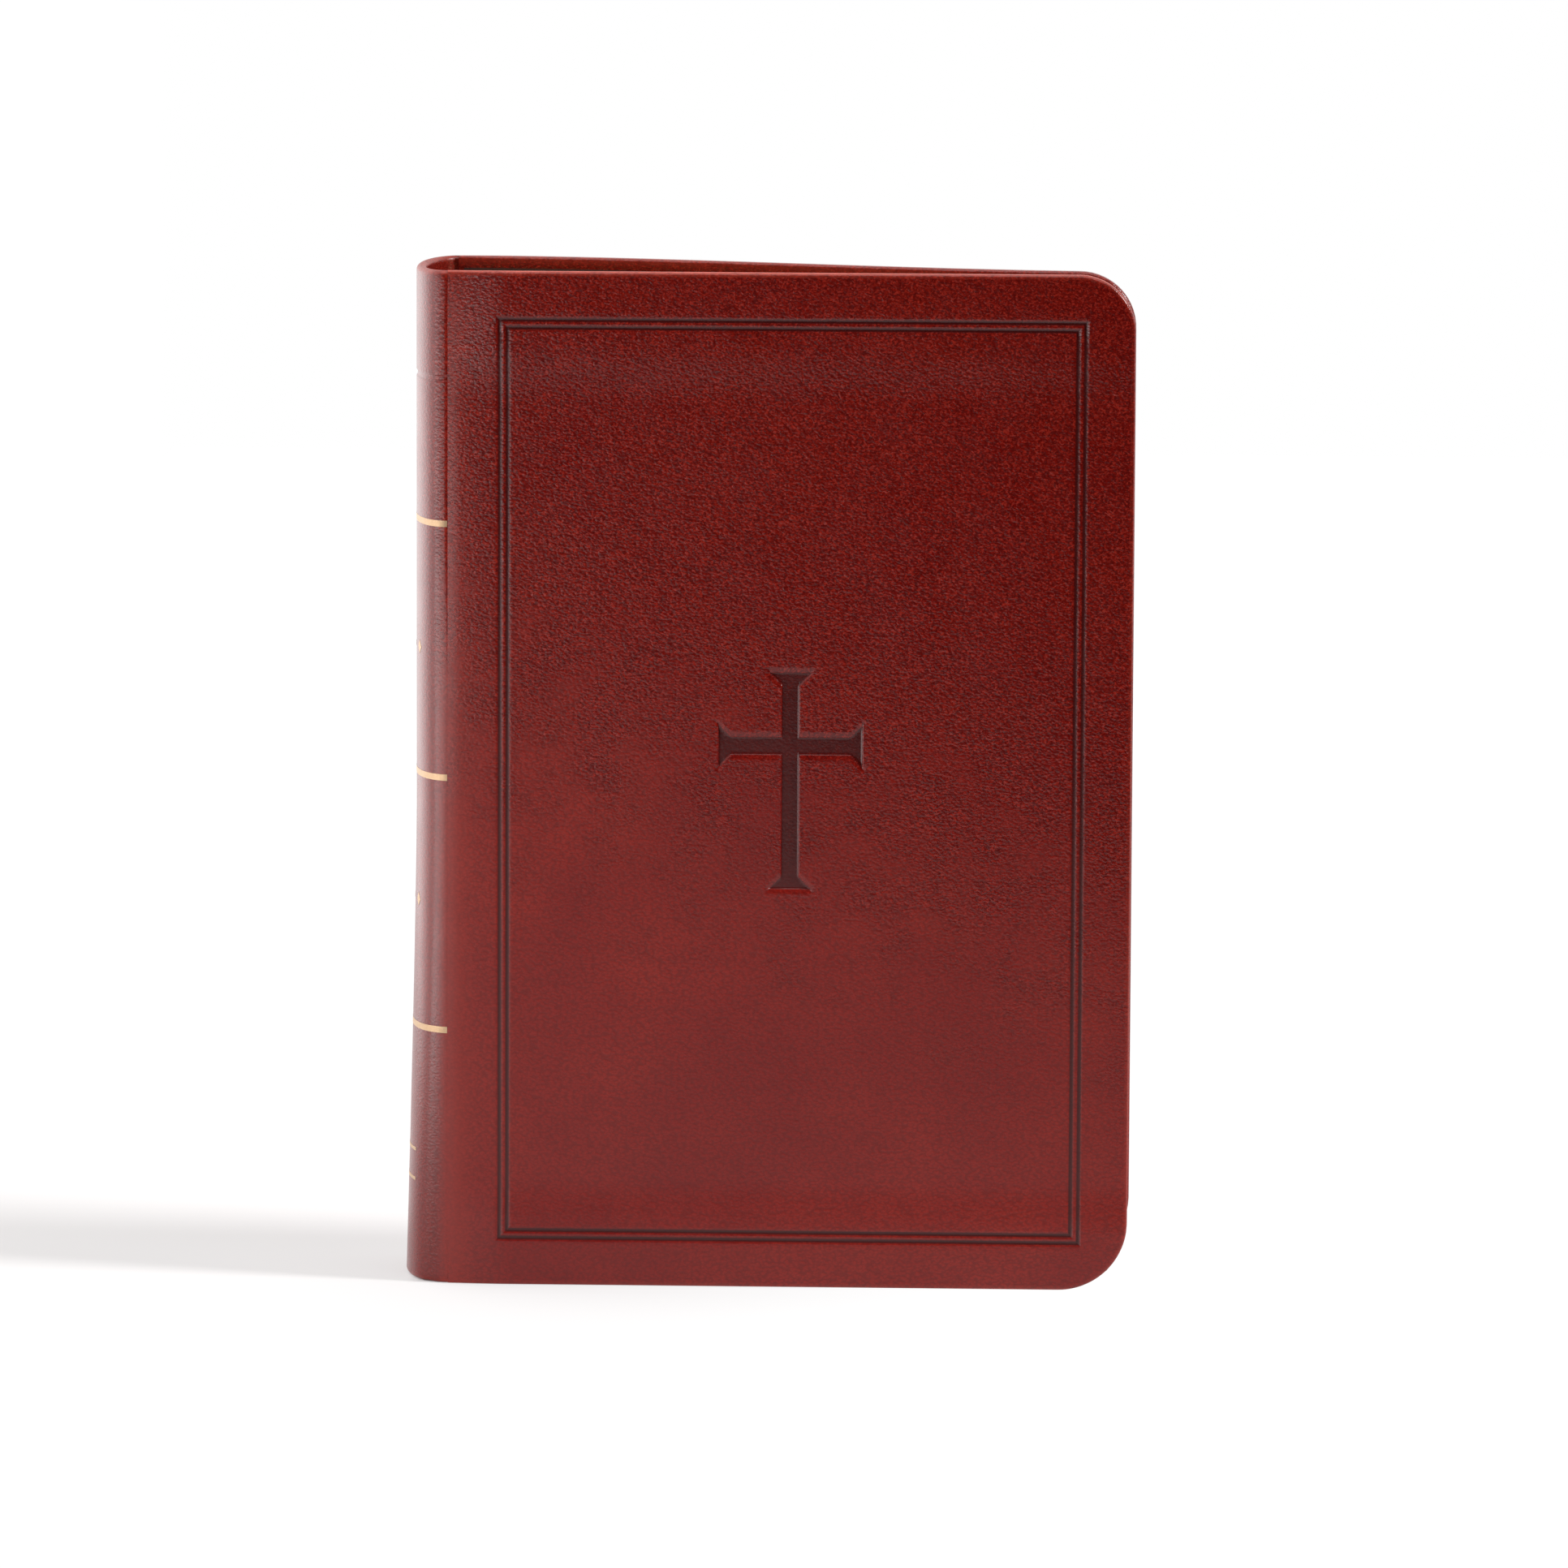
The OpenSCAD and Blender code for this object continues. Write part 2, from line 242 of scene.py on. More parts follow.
def crease(u, z):
    """Depth of the hinge beside its line: a narrow fold near the head, a soft roll into the spine below."""
    away = np.abs(u)
    near = np.clip(1 - away / CREASE_W, 0, 1) ** 2
    gutter = GUTTER_DEPTH * np.clip(1 - away / GUTTER_W, 0, 1) ** 2
    on_spine = (GUTTER_DEPTH + ROLL_DEPTH * (2 - near)) * (1 - smooth(CREASE_W, ROLL_END, away))
    roll = np.where(u > 0, gutter + ROLL_DEPTH * near, on_spine)
    folded = smooth(FOLD_FROM, FOLD_TO, z)
    return folded * (gutter + CREASE_DEPTH * near) + (1 - folded) * roll


def joint_share(u):
    """How far the leather at a distance belongs to the bending joint: 1 at the hinge line."""
    return 1 - smooth(0.8 * MM, BEND_END, u)


def corner_of(u, z):
    """Radius and centre of the rounded corner a point of the cover lies in, if any."""
    if u > COVER_W - HEAD_CORNER_R and z > HEIGHT - HEAD_CORNER_R:
        return HEAD_CORNER_R, COVER_W - HEAD_CORNER_R, HEIGHT - HEAD_CORNER_R
    if u > COVER_W - TAIL_CORNER_R and z < TAIL_CORNER_R:
        return TAIL_CORNER_R, COVER_W - TAIL_CORNER_R, TAIL_CORNER_R
    return None


def outline_point(u, z, du, dz):
    """Where the ray from a point near the cover's edge meets its outline, and the way out from there."""
    ahead = 3 * MM
    corner = corner_of(u + ahead * du, z + ahead * dz)
    if corner is None:
        return (COVER_W if du else u), (z if du else HEIGHT if dz > 0 else 0.0), du, dz
    r, cu, cz = corner
    fu, fz = u - cu, z - cz
    b = fu * du + fz * dz
    reach = -b + math.sqrt(b * b - (fu * fu + fz * fz - r * r))
    ou, oz = u + reach * du, z + reach * dz
    return ou, oz, (ou - cu) / r, (oz - cz) / r


def face_grid(tooled):
    """The grid of a cover's face: close together in the hinge and, if tooled, at the frame and the cross."""
    fold_end, gutter_end = 1.2 * MM, 3.2 * MM
    u_stretches = [(0, fold_end, 0.2 * MM), (fold_end, gutter_end, 0.4 * MM)]
    u_stretches += [(gutter_end, COVER_W - BORDER, 1.1 * MM)]
    z_stretches = [(BORDER, HEIGHT - BORDER, 1.2 * MM)]
    if tooled:
        fine, reach = 0.13 * MM, 0.65 * MM
        for k in range(2):
            left, right, c = (m + k * FRAME_PITCH for m in (FRAME_LEFT, FRAME_RIGHT, FRAME_MARGIN))
            u_stretches += [(left - reach, left + reach, fine)]
            u_stretches += [(COVER_W - right - reach, COVER_W - right + reach, fine)]
            z_stretches += [(c - reach, c + reach, fine), (HEIGHT - c - reach, HEIGHT - c + reach, fine)]
        grow, step, wall = 1.0 * MM, 0.27 * MM, CROSS_WALL
        u_stretches += [(CROSS_U - CROSS_W / 2 - grow, CROSS_U + CROSS_W / 2 + grow, step)]
        z_stretches += [(CROSS_Z - CROSS_DOWN - grow, CROSS_Z + CROSS_UP + grow, step)]
        for u in (-CROSS_W / 2, -CROSS_BAR / 2, CROSS_BAR / 2, CROSS_W / 2):
            u_stretches += [(CROSS_U + u - wall, CROSS_U + u + wall, wall / 2)]
        for z in (-CROSS_DOWN, -CROSS_BAR / 2, CROSS_BAR / 2, CROSS_UP):
            z_stretches += [(CROSS_Z + z - wall, CROSS_Z + z + wall, wall / 2)]
    return spread(*u_stretches), spread(*z_stretches)


def pressed_face(tooled):
    """The grid of a cover's face, how deep each point lies, and how dark the tool has made it."""
    us, zs = face_grid(tooled)
    grid_u, grid_z = np.meshgrid(us, zs)
    depth, tool = crease(grid_u, grid_z) - swell(grid_u, grid_z), np.zeros_like(grid_u)
    if tooled:
        (line, dark), inside = frame_lines(grid_u, grid_z), inside_cross(grid_u, grid_z)
        tool = np.maximum(dark, CROSS_TONE * smooth(-0.1 * MM, 0.12 * MM, inside))
        # the upright frame lines are pressed less deeply than the level ones
        level_zone = FRAME_MARGIN + FRAME_PITCH + MM
        upright = (grid_z > level_zone) & (grid_z < HEIGHT - level_zone)
        depth += FRAME_DEPTH * line * np.where(upright, 0.4, 1.0)
        # the leather dips towards the level edges of the cross and is pressed sharply at its upright ones
        floor_share = smooth(-CROSS_WALL, CROSS_WALL, inside)
        dip = smooth(-0.9 * MM, 0, inside) * np.abs(np.gradient(inside, zs, axis=0)).clip(0, 1)
        depth += CROSS_DEPTH * floor_share + CROSS_DIP * np.maximum(dip, floor_share)
    return grid_u, grid_z, depth, tool


def rim_rays(rows, columns):
    """The rim points of a face's grid, from the tail round to the head, each with its way out."""
    rim = [(j, (0, -1)) for j in range(columns)]
    rim += [(columns - 1, (math.cos(a), math.sin(a))) for a in np.radians(np.arange(-80, -5, 10))]
    rim += [(i * columns + columns - 1, (1, 0)) for i in range(rows)]
    rim += [(rows * columns - 1, (math.cos(a), math.sin(a))) for a in np.radians(np.arange(10, 85, 10))]
    rim += [((rows - 1) * columns + j, (0, 1)) for j in range(columns - 1, -1, -1)]
    return rim


def rim_steps():
    """The steps from the rim of a face out to its edge, round the rolled edge and back along the inside."""
    arc = [EDGE_R * (1 - math.sin(math.radians(a))) for a in range(0, 91, 15)]
    deep = [EDGE_R * (1 - math.cos(math.radians(a))) for a in range(0, 91, 15)]
    roll = list(zip(arc, deep)) + [(off, PLATE_T - down) for off, down in zip(arc[::-1], deep[::-1])]
    steps = [("out", t) for t in (0.35, 0.7, 0.84, 0.95)] + [("roll", pair) for pair in roll]
    return steps + [("in", d * MM) for d in (1.2, 2.6, 4.5)]


def rim_point(start, way, kind, value):
    """The point one step away from a rim point, and how much lighter its leather is painted: partly rubbed
    wear, partly a painted highlight.
    """
    u0, z0, n0 = start
    ou, oz, nu, nz = outline_point(u0, z0, *way)
    if kind == "out":
        u, z = (a + (o - v * EDGE_R - a) * value for a, o, v in ((u0, ou, nu), (z0, oz, nz)))
        return (u, z, n0 - SHOULDER * value ** 2), 0.0
    if kind == "in":
        off = EDGE_R + value
        return (ou - nu * off, oz - nz * off, FACE_N - PLATE_T), 0.0
    off, down = value
    u, z, n = ou - nu * off, oz - nz * off, n0 - SHOULDER
    n += (FACE_N - PLATE_T - n) * down / PLATE_T
    # lightest at the head, less so towards the fore-edge: partly rubbed wear, partly a painted highlight on
    # the upturned rim
    wear = 0.25 + 0.75 * float(smooth(0, 0.4 * MM, down))
    near_spine = 1 - 0.6 * float(smooth(COVER_W / 2, 0.85 * COVER_W, u))
    return (u, z, n), wear * (0.45 + 0.55 * near_spine * max(nz, 0.0))


def cover_plate(name, side, tooled, material):
    """One closed leather-covered plate: tooled face, rolled edges and turned-in inner side."""
    grid_u, grid_z, depth, tool = pressed_face(tooled)
    rows, columns = grid_u.shape
    points = [(u, z, FACE_N - d) for u, z, d in zip(grid_u.ravel(), grid_z.ravel(), depth.ravel())]
    joint = joint_share(grid_u)
    masks = {"tool": list(tool.ravel()), "edge": [0.0] * len(points), "joint": list(joint.ravel())}
    # the front cover's rims are painted lighter than the back's, partly as wear and partly as a painted
    # highlight
    worn_and_highlit = 1.0 if side == FRONT else 0.3
    faces = grid_faces(rows, columns)

    # The border: every rim point of the grid goes straight out to the outline; corners fan out.
    rim = rim_rays(rows, columns)
    loops = [[index for index, _ in rim]]
    for kind, value in rim_steps():
        loops.append(list(range(len(points), len(points) + len(rim))))
        for index, way in rim:
            point, wear = rim_point(points[index], way, kind, value)
            points.append(point)
            masks["tool"].append(0.0)
            masks["joint"].append(float(joint_share(point[0])))
            masks["edge"].append(wear * worn_and_highlit)
    for near, far in zip(loops, loops[1:]):
        for i in range(len(rim) - 1):
            quad = (near[i], near[i + 1], far[i + 1], far[i])
            faces.append(tuple(dict.fromkeys(quad))[::-1])

    # The inner side: one strip for every column, so that it bends with the face, and one flat piece beyond.
    inner, last = loops[-1], len(rim) - 1
    for j in range(columns - 1):
        faces.append((inner[j + 1], inner[last - j - 1], inner[last - j], inner[j]))
    faces.append(tuple(inner[columns - 1:last - columns + 2]))
    hinge_side = [i * columns for i in range(rows)]
    hinge_side += [loop[-1] for loop in loops[1:]] + [loop[0] for loop in loops[:0:-1]]
    faces.append(tuple(hinge_side[::-1]))
    placed = [cover_point(u, z, n, side) for u, z, n in points]
    return sharpen(make_piece(name, placed, faces, [material], masks=masks, flip=side == BACK), 75)


# ---------- spine ----------


def bulge(z):
    """How far the spine stands out behind the hinge lines: more at the tail, where it has spread."""
    rest = np.clip((BULGE_FROM - z) / BULGE_FROM, 0, 1) ** 1.3
    return BULGE_HEAD + (BULGE_TAIL - BULGE_HEAD) * rest


def spine_point(angle, z, inset):
    """Point of the spine's round section, an inset inside its outer face, at -90 to 90 degrees."""
    a = math.radians(angle)
    b = float(bulge(z))
    u = -(b - inset) * math.cos(a)
    n = (FACE_N - inset) * math.sin(a)
    return (HINGE_X + u, n, z * (1 + BACK_RISE * (0.5 + 0.5 * math.sin(a)) / HEIGHT))


def spine_angles(low=-90.0, high=90.0):
    """Angles round the spine between two limits, close together at both hinges."""
    near = [0.8 * i for i in range(13)]
    across = list(np.arange(10, 171, 2.5))
    angles = [-90 + a for a in near + across] + [90 - a for a in near]
    return sorted({round(a, 3) for a in angles if low < a < high} | {low, high})


def spine_shell(name, profile, material, angles, creased=False, worn_and_highlit=()):
    """A closed ring of (z, inset) points swept round the spine from hinge to hinge."""
    points, edge, taut_and_shaded, joint = [], [], [], []
    for z, inset in profile:
        for angle in angles:
            x, y, height = spine_point(angle, z, inset)
            if creased and inset < WALL_T / 2:
                y -= math.copysign(float(crease(x - HINGE_X, z)), y)
            points.append((x, y, height))
            # spine mask: the stretched leather of the spine, which the material also paints darker as shade;
            # it fades out towards the hinge
            taut_and_shaded.append(float(smooth(0, 2.6 * MM, HINGE_X - x)))
            joint.append(float(1 - smooth(0, 2 * MM, HINGE_X - x)))
            edge.append(sum(share * float(1 - smooth(0.2 * MM, 1.1 * MM, abs(z - e))) for e, share in worn_and_highlit))
    rows, columns = len(profile), len(angles)
    faces = grid_faces(rows, columns, wrap=True)
    faces.append(tuple(i * columns for i in range(rows)))
    faces.append(tuple(i * columns + columns - 1 for i in range(rows))[::-1])
    piece = make_piece(name, points, faces, [material], masks={"edge": edge, "taut_and_shaded": taut_and_shaded, "joint": joint})
    return sharpen(piece, 75)


def rounded_end(z_end, up, inset, radius):
    """Half-round profile over the head (up 1) or tail (up -1) of a wall, from its outer face inwards."""
    centre = z_end - up * radius
    return [(centre + up * radius * math.sin(a), inset + radius * (1 - math.cos(a)))
            for a in np.radians(np.arange(0, 181, 15))]


def spine_leather():
    """The spine's leather: doubled at head and tail by the turn-ins, with a blind line near the head."""
    r, near = WALL_T / 2, 1.1 * MM
    zs = spread((r, HEIGHT - r, 1.0 * MM), (BLIND_Z - near, BLIND_Z + near, 0.1 * MM))
    pressed = [1 - smooth(BLIND_HALF - BLIND_WALL, BLIND_HALF + BLIND_WALL, abs(z - BLIND_Z)) for z in zs]
    outer = [(z, BLIND_DEPTH * float(share)) for z, share in zip(zs, pressed)]
    head, tail = HEIGHT - TURN_IN, TURN_IN
    inner = [(head, WALL_T), (head, LEATHER_T), (tail, LEATHER_T), (tail, WALL_T)]
    profile = outer[1:-1] + rounded_end(HEIGHT, 1, 0, r) + inner + rounded_end(0, -1, 0, r)[::-1]
    # the head and tail rims of the spine are painted lighter, partly as wear and partly as a painted
    # highlight
    worn_and_highlit = ((HEIGHT, 0.42), (0, 0.2))
    return spine_shell("spine_skin", profile, leather, spine_angles(), creased=True, worn_and_highlit=worn_and_highlit)


def spine_card():
    """The card that stiffens the spine, inside its leather."""
    near, far, end = 0.84 * MM, 1.36 * MM, 1.2 * MM
    zs = list(spread((end, HEIGHT - end, 6 * MM)))
    profile = [(z, near) for z in zs] + [(z, far) for z in zs[::-1]]
    return spine_shell("spine_card", profile, card, spine_angles(-78.0, 78.0))


def foil_piece(name, cells):
    """Thin gilt patches that lie on the spine. A cell is (point(s, t) -> (angle, z), steps s, steps t)."""
    proud, sunk = -0.03 * MM, 0.05 * MM
    points, faces = [], []
    for place, ns, nt in cells:
        start, columns = len(points), ns + 1
        for inset in (proud, sunk):
            for t in range(nt + 1):
                for s in range(ns + 1):
                    angle, z = place(s / ns, t / nt)
                    x, y, height = spine_point(angle, z, inset)
                    points.append((x, y - math.copysign(float(crease(x - HINGE_X, z)), y), height))
        size = columns * (nt + 1)
        faces += grid_faces(nt + 1, columns, start)
        faces += [f[::-1] for f in grid_faces(nt + 1, columns, start + size)]
        ring = list(range(columns)) + [i * columns + ns for i in range(1, nt + 1)]
        ring += [nt * columns + j for j in range(ns - 1, -1, -1)]
        ring += [i * columns for i in range(nt - 1, 0, -1)]
        for a, b in zip(ring, ring[1:] + ring[:1]):
            faces.append((start + b, start + a, start + size + a, start + size + b))
    return sharpen(make_piece(name, points, faces, [foil]))


def strip(z, w, half_angle):
    """A band across the spine that dips a little towards the front cover."""
    def place(s, t):
        angle = half_angle * (2 * s - 1)
        return angle, z + w * (t - 0.5) + BAND_DIP * (1 + math.sin(math.radians(angle)))
    return (place, 64, 2)


def patch(y_mid, z_mid, corners):
    """A four-cornered foil patch given by its (across, up) corners around a middle."""
    def place(s, t):
        top = [c0 + (c1 - c0) * s for c0, c1 in zip(corners[3], corners[2])]
        low = [c0 + (c1 - c0) * s for c0, c1 in zip(corners[0], corners[1])]
        y = y_mid + low[0] + (top[0] - low[0]) * t
        return math.degrees(math.asin(y / FACE_N)), z_mid + low[1] + (top[1] - low[1]) * t
    return (place, 8, 8)


def box_corners(w, h):
    return [(-w / 2, -h / 2), (w / 2, -h / 2), (w / 2, h / 2), (-w / 2, h / 2)]


def lozenge_corners(w, h):
    return [(0, -h / 2), (w / 2, 0), (0, h / 2), (-w / 2, 0)]


def ornament_cells(z):
    """A plain upright and cross-stroke between two lozenges."""
    line, upright, stroke, lozenge, apart = 0.8 * MM, 9 * MM, 2.6 * MM, 2.3 * MM, 8 * MM
    cells = [patch(0, z, box_corners(line, upright))]
    cells += [patch(s * (stroke + line) / 2, z, box_corners(stroke, line)) for s in (-1, 1)]
    cells += [patch(s * apart, z, lozenge_corners(lozenge, lozenge)) for s in (-1, 1)]
    return cells


# ---------- paper ----------


def rounded_z(u, end, low, top, r):
    """Lowest and highest z of a sheet with rounded fore-edge corners, at a distance u."""
    over = np.clip(u - (end - r), 0, r)
    cut = r - math.sqrt(max(r * r - over * over, 0))
    return low + cut, top - cut


def sheet_block(name, side, us, end, low, top, r, outer_n, inner_n, materials, slots, place=row_point):
    """A closed slab of paper. outer_n and inner_n give n at a distance u; slots are outer, inner, edges."""
    points, faces, face_slots = [], [], []
    for u in us:
        z0, z1 = rounded_z(u, end, low, top, r)
        for z, n in ((z0, outer_n(u)), (z1, outer_n(u)), (z1, inner_n(u)), (z0, inner_n(u))):
            points.append(place(u, z, n, side))
    for i in range(len(us) - 1):
        for k, slot in enumerate((slots[0], slots[2], slots[1], slots[2])):
            a, b = 4 * i + k, 4 * i + (k + 1) % 4
            faces.append((a, b, b + 4, a + 4))
            face_slots.append(slot)
    faces += [(3, 2, 1, 0), tuple(4 * (len(us) - 1) + k for k in range(4))]
    face_slots += [slots[2], slots[2]]
    return sharpen(make_piece(name, points, faces, materials, face_slots, flip=side == BACK), 40)


def round_us(start, end, r, bend):
    """Distances along a leaf: close together round the fold, in the bend and at the rounded corners."""
    corner = [end - r + r * math.sin(a) for a in np.radians(np.arange(5, 91, 5))]
    return list(spread((start, start + bend, 0.6 * MM), (start + bend, end - r, 8 * MM))) + corner


def leaf_section(label, side, number):
    """A folded section: rounded at the fold, gilt at its edges."""
    i = number - 1
    fold, mid, half = FOLDS[i], BLOCK_N - PITCH * (i + 0.5), LEAF_T / 2
    end = fold + BLOCK_W
    near_fold = [fold + half * (1 - math.cos(a)) for a in np.radians(np.arange(8, 90, 10))]
    us = near_fold + round_us(fold + half, end, LEAF_CORNER_R, LEAF_BEND)

    def half_at(u):
        """Half the thickness, less where the fold rounds it off."""
        return half * math.sqrt(1 - np.clip(1 - (u - fold) / half, 0, 1) ** 2)

    return sheet_block(f"{label}_pages_{number}", side, us, end, BLOCK_LOW, BLOCK_TOP, LEAF_CORNER_R,
                       lambda u: mid + half_at(u), lambda u: mid - half_at(u), [page, gilt_edge], (0, 0, 1))


def flyleaf(label, side):
    """The free endpaper, dark outside and cream inside."""
    box_low, box_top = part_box(f"{label}_flyleaf")
    end = box_top.x - HINGE_X
    t = box_top.y - box_low.y
    us = round_us(GLUED_IN, end, LEAF_CORNER_R, LEAF_BEND)
    return sheet_block(f"{label}_endpaper", side, us, end, BLOCK_LOW, BLOCK_TOP, LEAF_CORNER_R,
                       lambda u: FLY_N, lambda u: FLY_N - t, [endpaper, page], (0, 1, 0))


def pastedown(label, side):
    """The dark paper glued inside a cover, with its points close together near the hinge."""
    end, r, bend = COVER_W - LINING_INSET, LINING_CORNER_R, 8 * MM
    us = list(spread((GLUED_IN, bend, 0.5 * MM), (bend, end - r, 12 * MM)))
    us += [end - r + r * math.sin(a) for a in np.radians(np.arange(10, 91, 10))]
    glued_n = FACE_N - PLATE_T + 0.02 * MM
    return sheet_block(f"{label}_lining", side, us, end, LINING_INSET, HEIGHT - LINING_INSET, r,
                       lambda u: glued_n, lambda u: PASTE_N, [endpaper], (0, 0, 0), cover_point)


def board_core(label, side):
    """The board between a cover's leather and its pastedown."""
    low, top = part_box(f"{label}_board")
    start, end, r = low.x - HINGE_X, top.x - HINGE_X, HEAD_CORNER_R - 1 * MM
    us = [start, end - r] + [end - r + r * math.sin(a) for a in np.radians(np.arange(15, 91, 15))]
    far, near = max(abs(low.y), abs(top.y)), min(abs(low.y), abs(top.y))
    return sheet_block(f"{label}_core", side, us, end, low.z, top.z, r,
                       lambda u: far, lambda u: near, [board_paper], (0, 0, 0), cover_point)


def woven_bead(name, z_end, up):
    """Woven bead at the head or tail of the block: a roll that follows the folds, ridged by its threads."""
    half_n, middle_z = BLOCK_N - 0.4 * MM, z_end + up * BEAD_MIDDLE
    around, along, thread = 14, 300, 5
    points, faces = [], []
    for i in range(along + 1):
        n = -half_n + 2 * half_n * i / along
        fold = FOLDS[0] - (FOLDS[0] - FOLDS[-1]) * (1 - (n / BLOCK_N) ** 2) - 0.1 * MM
        ridge = BEAD_R * (1 + 0.09 * abs(math.sin(math.pi * i / thread)))
        ridge *= min(1.0, 0.25 + 3 * min(i, along - i) / 20)
        for k in range(around):
            a = 2 * math.pi * k / around
            points.append(row_point(fold + ridge * math.cos(a), middle_z + ridge * math.sin(a), n))
    for i in range(along):
        for k in range(around):
            a, b = i * around + k, i * around + (k + 1) % around
            faces.append((a, b, b + around, a + around))
    faces += [tuple(range(around))[::-1], tuple(along * around + k for k in range(around))]
    return make_piece(name, points, faces, [band_silk])


# ---------- materials ----------


class Nodes:
    """Short hand for building one material's node tree."""

    def __init__(self, name):
        self.material = bpy.data.materials.new(name)
        self.material.use_nodes = True
        self.tree = self.material.node_tree
        self.shader = self.tree.nodes["Principled BSDF"]

    def add(self, kind, inputs=None, **settings):
        node = self.tree.nodes.new(kind)
        for key, value in settings.items():
            setattr(node, key, value)
        for key, value in (inputs or {}).items():
            if isinstance(value, bpy.types.NodeSocket):
                self.tree.links.new(value, node.inputs[key])
            else:
                node.inputs[key].default_value = value
        return node

    def link(self, socket, name):
        self.tree.links.new(socket, self.shader.inputs[name])

    def set(self, **values):
        for key, value in values.items():
            self.shader.inputs[key.replace("_", " ")].default_value = value

    def vector(self, operation, a, b):
        return self.add("ShaderNodeVectorMath", {0: a, 1: b}, operation=operation).outputs[0]

    def place(self):
        """Rest positions in millimetres, so that patterns stay put when a piece bends."""
        source = self.add("ShaderNodeAttribute", attribute_name="rest")
        return self.vector("MULTIPLY", source.outputs["Vector"], (1 / MM,) * 3)

    def object_place(self):
        """The same for a piece that came from the frame and has no rest positions of its own."""
        source = self.add("ShaderNodeTexCoord")
        return self.vector("MULTIPLY", source.outputs["Object"], (1 / MM,) * 3)

    def mask(self, name):
        return self.add("ShaderNodeAttribute", attribute_name=name).outputs["Fac"]

    def noise(self, place, scale, detail=2.0, roughness=0.5):
        return self.add("ShaderNodeTexNoise", {"Vector": place, "Scale": scale, "Detail": detail,
                                               "Roughness": roughness}).outputs["Fac"]

    def math(self, operation, a, b):
        return self.add("ShaderNodeMath", {0: a, 1: b}, operation=operation).outputs[0]

    def remap(self, value, low, high, to_low=0.0, to_high=1.0, kind="LINEAR"):
        return self.add("ShaderNodeMapRange", {"Value": value, "From Min": low, "From Max": high,
                                               "To Min": to_low, "To Max": to_high},
                        interpolation_type=kind).outputs[0]

    def mix(self, factor, a, b):
        node = self.add("ShaderNodeMix", data_type="RGBA")
        for key, value in ((0, factor), (6, a), (7, b)):
            if isinstance(value, bpy.types.NodeSocket):
                self.tree.links.new(value, node.inputs[key])
            else:
                node.inputs[key].default_value = value
        return node.outputs[2]

    def bump(self, height, strength, distance):
        return self.add("ShaderNodeBump", {"Height": height, "Strength": strength,
                                           "Distance": distance}).outputs[0]


def colour(r, g, b):
    return (r, g, b, 1.0)


